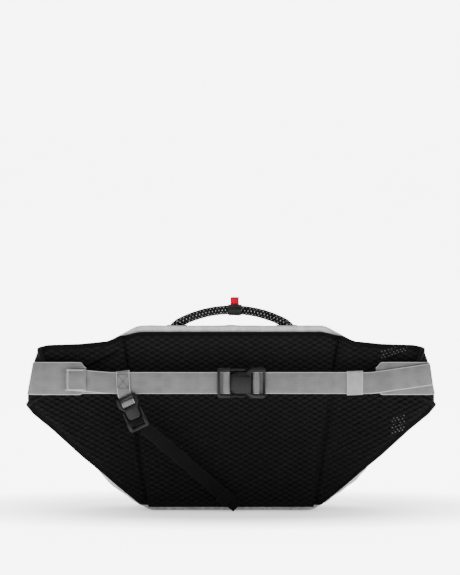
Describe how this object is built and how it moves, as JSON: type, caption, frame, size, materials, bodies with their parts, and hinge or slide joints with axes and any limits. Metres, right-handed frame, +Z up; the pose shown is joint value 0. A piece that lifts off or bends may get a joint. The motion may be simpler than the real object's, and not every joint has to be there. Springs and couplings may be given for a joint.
{
  "type": "waist pack with rope handle",
  "caption": "Waist pack with a quilted back panel, folded hip wings, webbing belt with side-release buckle, stabiliser strap, zipped lid, front pocket and rope carry handle.",
  "frame": {"origin": "middle of the flat base that the pack stands on", "axes": "+Z up, -Y towards the wearer's back, +Y out through the front pocket, +X to the right as the back panel is looked at"},
  "size_m": [0.48, 0.1561, 0.2516],
  "materials": {
    "shell_fabric": "matt coated woven nylon",
    "lining_fabric": "matt lining",
    "black_mesh": "quilted diamond mesh",
    "foam": "closed-cell foam",
    "black_fabric": "smooth woven",
    "black_binding": "ribbed binding tape",
    "grey_webbing": "plain woven webbing",
    "grey_elastic": "woven elastic",
    "black_webbing": "plain woven webbing",
    "black_elastic": "woven elastic",
    "black_plastic": "fine-textured moulding",
    "rope": "braided, with pale tracers",
    "black_label": "matt sleeve",
    "red_tab": "woven tab",
    "zip_tape": "coated zip tape",
    "zip_metal": "satin painted",
    "zip_pull": "moulded pull"
  },
  "bodies": {
    "pack": {"back_panel_binding": "black_binding", "back_panel_foam": "foam", "back_panel_mesh": "black_mesh", "back_wall": "lining_fabric", "belt_right": "grey_webbing", "belt_sewn_left": "grey_webbing", "front_panel": "shell_fabric", "front_pocket": "shell_fabric", "gusset": "shell_fabric", "handle_anchor_left": "black_fabric", "handle_anchor_right": "black_fabric", "hip_band_left": "grey_webbing", "hip_band_right": "grey_webbing", "main_buckle_receiver": "black_plastic", "main_zip_tape_lower": "zip_tape", "pocket_zip_tape": "zip_tape", "stabiliser_loop": "grey_webbing", "stabiliser_strap": "black_webbing", "strap_buckle_receiver": "black_plastic", "top_collar": "shell_fabric", "wing_binding_left": "black_binding", "wing_binding_right": "black_binding", "wing_cover_left": "black_fabric", "wing_cover_right": "black_fabric", "wing_foam_left": "foam", "wing_foam_right": "foam", "wing_mesh_left": "black_mesh", "wing_mesh_right": "black_mesh"},
    "lid": {"lid": "shell_fabric", "main_zip_tape_upper": "zip_tape"},
    "main_slider": {"main_zip_slider": "zip_metal"},
    "main_pull": {"main_zip_pull": "zip_pull"},
    "pocket_slider": {"pocket_zip_slider": "zip_metal"},
    "pocket_pull": {"pocket_zip_pull": "zip_pull"},
    "handle": {"handle_rope": "rope", "handle_label_sleeve": "black_label", "handle_tab": "red_tab"},
    "main_prongs": {"main_buckle_prong_base": "black_plastic", "belt_tail_left": "grey_webbing", "belt_hem_left": "grey_webbing"},
    "main_prong_up": {"main_buckle_prong_upper": "black_plastic"},
    "main_prong_low": {"main_buckle_prong_lower": "black_plastic"},
    "strap_prongs": {"strap_buckle_prong_base": "black_plastic", "stabiliser_wrap": "black_webbing"},
    "strap_prong_up": {"strap_buckle_prong_upper": "black_plastic"},
    "strap_prong_low": {"strap_buckle_prong_lower": "black_plastic"},
    "belt_keeper": {"belt_keeper": "grey_elastic"},
    "strap_keeper": {"strap_keeper": "black_elastic"}
  },
  "joints": [
    {"name": "lid_open", "type": "hinge", "parent": "pack", "child": "lid", "pos_m": [0, -0.0137, 0.2138], "axis": [1, 0, 0], "range_deg": [0, 70]},
    {"name": "main_zip_slide", "type": "slide", "parent": "lid", "child": "main_slider", "axis": [1, 0, 0], "range_m": [0, 0.18]},
    {"name": "main_zip_pull_swing", "type": "hinge", "parent": "main_slider", "child": "main_pull", "pos_m": [-0.09, 0.0509, 0.16815], "axis": [1, 0, 0], "range_deg": [0, 150]},
    {"name": "pocket_zip_slide", "type": "slide", "parent": "pack", "child": "pocket_slider", "axis": [1, 0, 0], "range_m": [0, 0.14]},
    {"name": "pocket_zip_pull_swing", "type": "hinge", "parent": "pocket_slider", "child": "pocket_pull", "pos_m": [-0.07, 0.0609, 0.123], "axis": [1, 0, 0], "range_deg": [0, 150]},
    {"name": "handle_fold", "type": "hinge", "parent": "pack", "child": "handle", "pos_m": [0.001, -0.024, 0.22415], "axis": [1, 0, 0], "range_deg": [-75, 75]},
    {"name": "main_buckle_release", "type": "slide", "parent": "pack", "child": "main_prongs", "axis": [-1, 0, 0], "range_m": [0, 0.03]},
    {"name": "main_prong_upper_squeeze", "type": "hinge", "parent": "main_prongs", "child": "main_prong_up", "pos_m": [-0.0007, -0.0866, 0.1677], "axis": [0, 1, 0], "range_deg": [0, 5.5], "stiffness_Nm_per_rad": 0.05},
    {"name": "main_prong_lower_squeeze", "type": "hinge", "parent": "main_prongs", "child": "main_prong_low", "pos_m": [-0.0007, -0.0866, 0.1371], "axis": [0, -1, 0], "range_deg": [0, 5.5], "stiffness_Nm_per_rad": 0.05},
    {"name": "strap_buckle_release", "type": "slide", "parent": "pack", "child": "strap_prongs", "axis": [0.4226, 0, -0.9063], "range_m": [0, 0.02]},
    {"name": "strap_prong_upper_squeeze", "type": "hinge", "parent": "strap_prongs", "child": "strap_prong_up", "pos_m": [-0.11939, -0.08988, 0.10675], "axis": [0, 1, 0], "range_deg": [0, 6], "stiffness_Nm_per_rad": 0.05},
    {"name": "strap_prong_lower_squeeze", "type": "hinge", "parent": "strap_prongs", "child": "strap_prong_low", "pos_m": [-0.10054, -0.08988, 0.11554], "axis": [0, -1, 0], "range_deg": [0, 6], "stiffness_Nm_per_rad": 0.05},
    {"name": "belt_keeper_slide", "type": "slide", "parent": "pack", "child": "belt_keeper", "axis": [1, 0, 0], "range_m": [-0.07, 0.01]},
    {"name": "strap_keeper_slide", "type": "slide", "parent": "pack", "child": "strap_keeper", "axis": [-0.7189, -0.2558, 0.6463], "range_m": [0, 0.06]}
  ],
  "couplings": [
    {"joint": "main_prong_lower_squeeze", "follows": "main_prong_upper_squeeze", "ratio": 1},
    {"joint": "strap_prong_lower_squeeze", "follows": "strap_prong_upper_squeeze", "ratio": 1}
  ]
}
